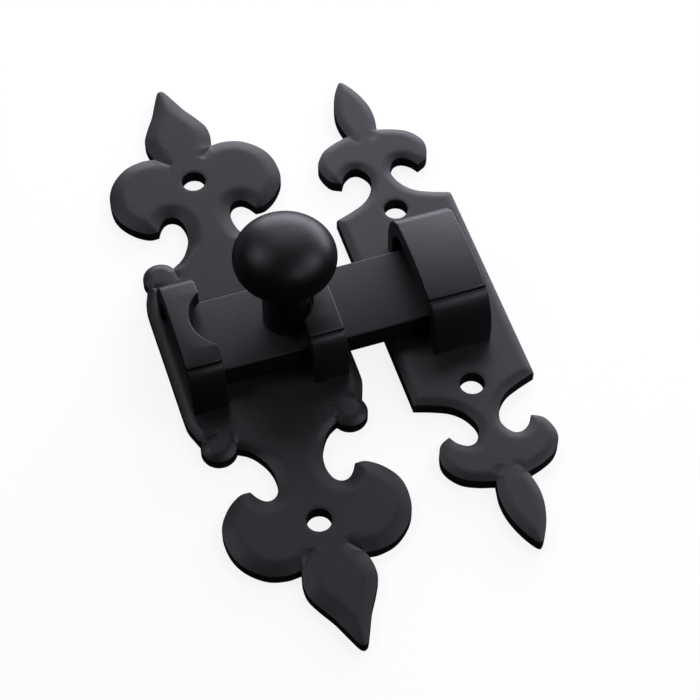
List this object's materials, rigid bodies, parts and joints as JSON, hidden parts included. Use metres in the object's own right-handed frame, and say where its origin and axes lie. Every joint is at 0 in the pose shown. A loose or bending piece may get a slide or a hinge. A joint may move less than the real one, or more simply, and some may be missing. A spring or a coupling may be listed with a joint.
{
  "type": "surface slide bolt",
  "caption": "Black fleur-de-lis surface slide bolt: a flat bar with a round knob slides through bent guide straps on a long plate into a raised loop on a smaller keeper plate.",
  "frame": {"origin": "centre of the bolt plate, on its flat back face", "axes": "+X along the bolt towards the keeper, +Y along the length of both plates, +Z straight out from the door towards the knob; the bolt is thrown at rest"},
  "size_m": [0.0729, 0.15, 0.0357],
  "materials": {
    "plate_coating": "satin black powder coat on pressed steel",
    "guide_coating": "satin black powder coat on bent steel strap",
    "bar_coating": "satin black powder coat on a flat steel bar",
    "knob_coating": "smooth satin black powder coat on a turned steel knob",
    "zinc": "zinc-plated steel"
  },
  "bodies": {
    "bolt_plate_body": {"bolt_plate": "plate_coating", "rear_guide": "guide_coating", "front_guide": "guide_coating", "rear_guide_rivet_upper": "zinc", "rear_guide_rivet_lower": "zinc", "front_guide_rivet_upper": "zinc", "front_guide_rivet_lower": "zinc"},
    "bolt": {"bolt_bar": "bar_coating", "knob": "knob_coating", "knob_stem": "bar_coating", "knob_screw": "zinc"},
    "keeper": {"keeper_plate": "plate_coating", "keeper_loop": "guide_coating", "keeper_rivet_upper": "zinc", "keeper_rivet_lower": "zinc"}
  },
  "joints": [
    {"name": "bolt_slide", "type": "slide", "parent": "bolt_plate_body", "child": "bolt", "axis": [1, 0, 0], "range_m": [-0.015, 0]},
    {"name": "keeper_offset", "type": "slide", "parent": "bolt_plate_body", "child": "keeper", "axis": [1, 0, 0], "range_m": [0, 0.03]}
  ]
}
